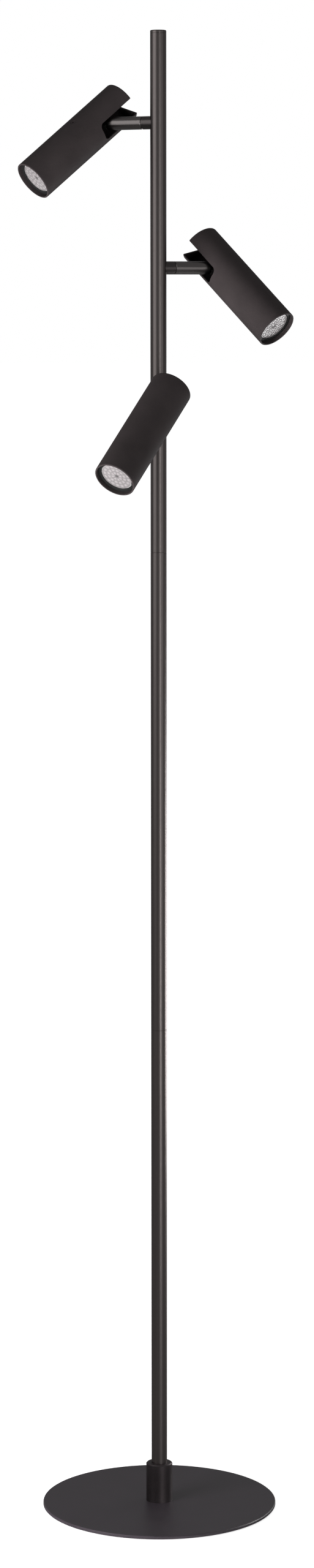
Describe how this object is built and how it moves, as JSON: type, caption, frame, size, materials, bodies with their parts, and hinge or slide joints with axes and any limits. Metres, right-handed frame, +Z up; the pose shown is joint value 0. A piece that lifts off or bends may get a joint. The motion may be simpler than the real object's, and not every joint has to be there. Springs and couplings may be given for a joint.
{
  "type": "reading floor lamp",
  "caption": "Floor lamp with a flat round foot, a slim pole and cylindrical spot heads that swivel and tilt on short side arms, for reading light.",
  "frame": {"origin": "on the floor, under the pole's axis, at the middle of the foot", "axes": "+Z up along the pole, -Y along the lower arm, +X to the right as seen from the lower arm's side"},
  "size_m": [0.2741, 0.2657, 1.5],
  "materials": {
    "black_steel": "satin black powder coat on steel",
    "pole_finish": "dark gunmetal coat with a satin sheen on steel tube",
    "arm_finish": "satin black coat on steel tube",
    "head_coat": "matt warm black powder coat on aluminium tube",
    "black_plastic": "moulded matt black",
    "rubber_pad": "ribbed non-slip sheet",
    "plated_steel": "zinc plated",
    "black_screw": "blackened steel",
    "brass_parts": "turned brass",
    "washer_plastic": "natural nylon",
    "holder_ceramic": "unglazed steatite",
    "lamp_plastic": "white moulded housing",
    "lamp_lens": "pressed faceted lens, pale grey when unlit"
  },
  "bodies": {
    "stand": {"base_pad": "rubber_pad", "base_plate": "black_steel", "base_screw": "plated_steel", "base_socket": "black_steel", "socket_grub_screw": "black_screw", "cable_bush": "black_plastic", "pole_lower": "pole_finish", "pole_middle": "pole_finish", "pole_upper": "pole_finish", "pole_inserts": "plated_steel", "pole_nipples": "plated_steel", "pole_cap": "pole_finish", "swivel_nipples": "plated_steel", "swivel_washers": "plated_steel", "swivel_nuts": "brass_parts", "upper_arm_stub": "pole_finish", "middle_arm_stub": "pole_finish", "lower_arm_stub": "pole_finish"},
    "upper_arm": {"upper_arm_tube": "arm_finish", "upper_arm_bush": "brass_parts", "upper_arm_knuckle": "black_screw"},
    "upper_head": {"upper_head_tube": "head_coat", "upper_hinge_bracket": "black_screw", "upper_hinge_pin": "plated_steel", "upper_hinge_washers": "washer_plastic", "upper_bracket_screw": "black_screw", "upper_lampholder": "holder_ceramic", "upper_holder_screws": "plated_steel", "upper_front_ring": "black_plastic", "upper_lamp_body": "lamp_plastic", "upper_lamp_pins": "plated_steel", "upper_lamp_lens": "lamp_lens"},
    "middle_arm": {"middle_arm_tube": "arm_finish", "middle_arm_bush": "brass_parts", "middle_arm_knuckle": "black_screw"},
    "middle_head": {"middle_head_tube": "head_coat", "middle_hinge_bracket": "black_screw", "middle_hinge_pin": "plated_steel", "middle_hinge_washers": "washer_plastic", "middle_bracket_screw": "black_screw", "middle_lampholder": "holder_ceramic", "middle_holder_screws": "plated_steel", "middle_front_ring": "black_plastic", "middle_lamp_body": "lamp_plastic", "middle_lamp_pins": "plated_steel", "middle_lamp_lens": "lamp_lens"},
    "lower_arm": {"lower_arm_tube": "arm_finish", "lower_arm_bush": "brass_parts", "lower_arm_knuckle": "black_screw"},
    "lower_head": {"lower_head_tube": "head_coat", "lower_hinge_bracket": "black_screw", "lower_hinge_pin": "plated_steel", "lower_hinge_washers": "washer_plastic", "lower_bracket_screw": "black_screw", "lower_lampholder": "holder_ceramic", "lower_holder_screws": "plated_steel", "lower_front_ring": "black_plastic", "lower_lamp_body": "lamp_plastic", "lower_lamp_pins": "plated_steel", "lower_lamp_lens": "lamp_lens"}
  },
  "joints": [
    {"name": "upper_swivel", "type": "hinge", "parent": "stand", "child": "upper_arm", "pos_m": [0, 0, 1.41], "axis": [-0.8829, 0.4695, 0], "range_deg": [-208, 112]},
    {"name": "upper_tilt", "type": "hinge", "parent": "upper_arm", "child": "upper_head", "pos_m": [-0.06313, 0.03357, 1.41], "axis": [-0.3141, -0.5908, 0.7431], "range_deg": [-67.5, 22.5]},
    {"name": "middle_swivel", "type": "hinge", "parent": "stand", "child": "middle_arm", "pos_m": [0, 0, 1.2675], "axis": [0.866, 0.5, 0], "range_deg": [-113.5, 206.5]},
    {"name": "middle_tilt", "type": "hinge", "parent": "middle_arm", "child": "middle_head", "pos_m": [0.06192, 0.03575, 1.2675], "axis": [-0.3442, 0.5961, -0.7254], "range_deg": [-72.5, 17.5]},
    {"name": "lower_swivel", "type": "hinge", "parent": "stand", "child": "lower_arm", "pos_m": [0, 0, 1.125], "axis": [0, -1, 0], "range_deg": [-129, 191]},
    {"name": "lower_tilt", "type": "hinge", "parent": "lower_arm", "child": "lower_head", "pos_m": [0, -0.0715, 1.125], "axis": [0.8572, 0, -0.515], "range_deg": [-51, 39]}
  ]
}
